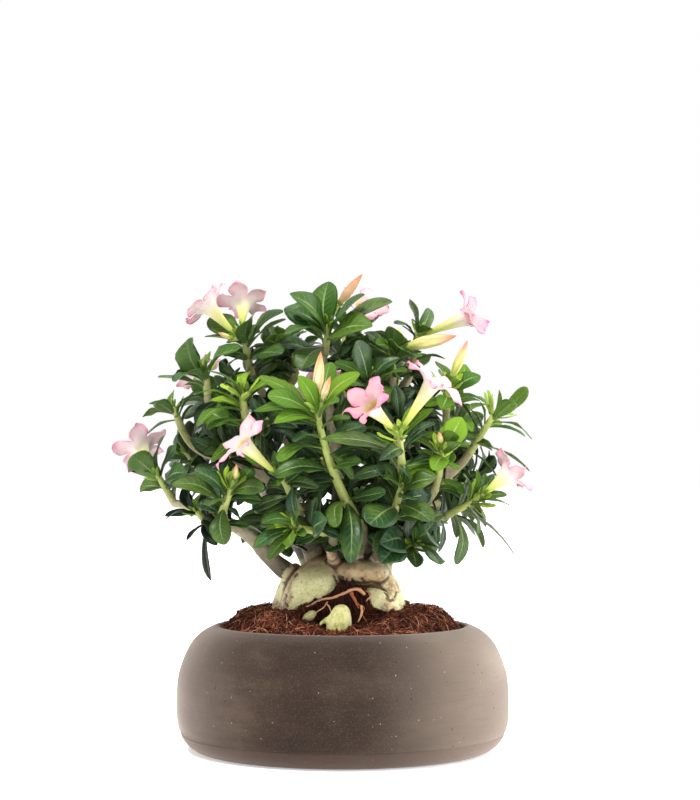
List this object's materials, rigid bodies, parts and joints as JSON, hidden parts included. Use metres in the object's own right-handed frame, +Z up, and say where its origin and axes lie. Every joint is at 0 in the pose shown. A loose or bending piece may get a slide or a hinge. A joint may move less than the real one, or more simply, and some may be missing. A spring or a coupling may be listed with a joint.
{
  "type": "potted desert rose",
  "caption": "Desert rose with a swollen caudex, leafy branches, trumpet flowers and buds, growing in coir in a low, wide, round clay bowl.",
  "frame": {"origin": "centre of the flat foot under the bowl", "axes": "+Z up, the plant's front faces -Y, +X to the right of a viewer in front"},
  "size_m": [0.3548, 0.306, 0.403],
  "materials": {
    "clay": "matte",
    "coir": "matte",
    "bark": "matte",
    "leaf": "satin",
    "young_leaf": "satin",
    "petal": "matte",
    "bud": "matte"
  },
  "bodies": {
    "root": {"bowl": "clay", "soil": "coir", "caudex_and_branches": "bark", "top_centre": "leaf", "top_left": "leaf", "left_upper": "leaf", "left_bud": "young_leaf", "left_rim": "leaf", "far_left": "leaf", "low_left_bud": "young_leaf", "front_stem": "young_leaf", "low_centre": "young_leaf", "centre_right": "leaf", "upper_right": "young_leaf", "top_right": "leaf", "right_bud": "young_leaf", "far_right": "young_leaf", "centre_flowers": "young_leaf", "right_mid": "young_leaf", "low_right_flower": "young_leaf", "right_inner": "leaf", "low_right": "leaf", "mid_left": "leaf", "centre_dark": "leaf", "left_low_back": "leaf", "low_left": "leaf", "right_dark": "leaf", "left_inner": "leaf", "right_low_back": "leaf", "back_top": "leaf", "back_top_left": "leaf", "back_left": "leaf", "back_left_low": "leaf", "back_centre": "leaf", "back_right_top": "leaf", "back_right": "leaf", "back_right_low": "leaf", "back_low_left": "leaf", "back_low_right": "leaf", "flower_top_left": "petal", "flower_top_left_back": "petal", "flower_top_right": "petal", "flower_centre_open": "petal", "flower_centre_pink": "petal", "flower_left": "petal", "flower_far_left": "petal", "flower_low_right": "petal", "flower_top_back": "petal", "flower_back_centre": "petal", "flower_back_left": "petal", "bud_top": "bud", "bud_front_tall": "bud", "bud_front_short": "bud", "bud_right_long": "bud", "bud_right_tall": "bud", "bud_low_left": "bud", "bud_right_small": "bud", "bud_left_small": "bud"}
  },
  "joints": []
}
